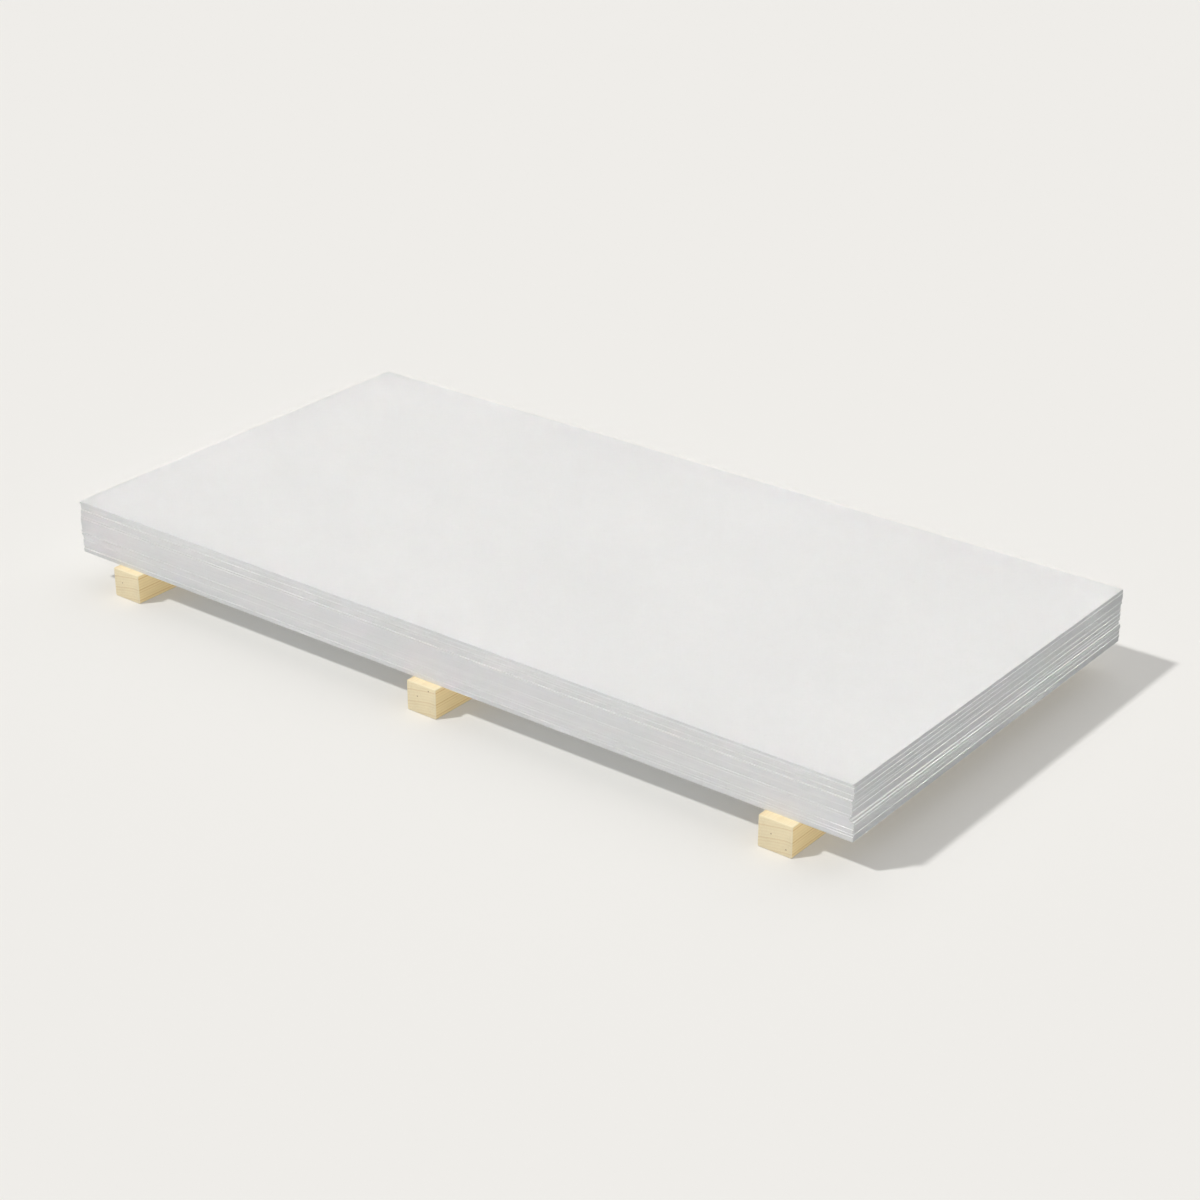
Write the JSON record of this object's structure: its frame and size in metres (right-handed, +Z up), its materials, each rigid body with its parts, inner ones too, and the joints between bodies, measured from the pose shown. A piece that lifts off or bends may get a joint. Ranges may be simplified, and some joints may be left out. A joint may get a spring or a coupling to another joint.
{
  "type": "stack of fiber cement boards on timber bearers",
  "caption": "Flat stack of large thin grey fiber cement boards, edges slightly out of line, lying on square-sawn pine bearers that keep it off the floor.",
  "frame": {"origin": "on the floor, under the middle of the middle bearer, which is the nominal centre of the stack", "axes": "+X along the boards' length, +Y across the boards and along the bearers, +Z up"},
  "size_m": [2.4092, 1.24, 0.224],
  "materials": {
    "fiber_cement": "matte",
    "pine": "matte"
  },
  "bodies": {
    "root": {"board_01": "fiber_cement", "board_02": "fiber_cement", "board_03": "fiber_cement", "board_04": "fiber_cement", "board_05": "fiber_cement", "board_06": "fiber_cement", "board_07": "fiber_cement", "board_08": "fiber_cement", "board_09": "fiber_cement", "board_10": "fiber_cement", "board_11": "fiber_cement", "board_12": "fiber_cement", "board_13": "fiber_cement", "board_14": "fiber_cement", "board_15": "fiber_cement", "board_16": "fiber_cement", "board_17": "fiber_cement", "board_18": "fiber_cement", "board_19": "fiber_cement", "board_20": "fiber_cement", "board_21": "fiber_cement", "board_22": "fiber_cement", "board_23": "fiber_cement", "board_24": "fiber_cement", "bearer_left": "pine", "bearer_middle": "pine", "bearer_right": "pine"}
  },
  "joints": []
}
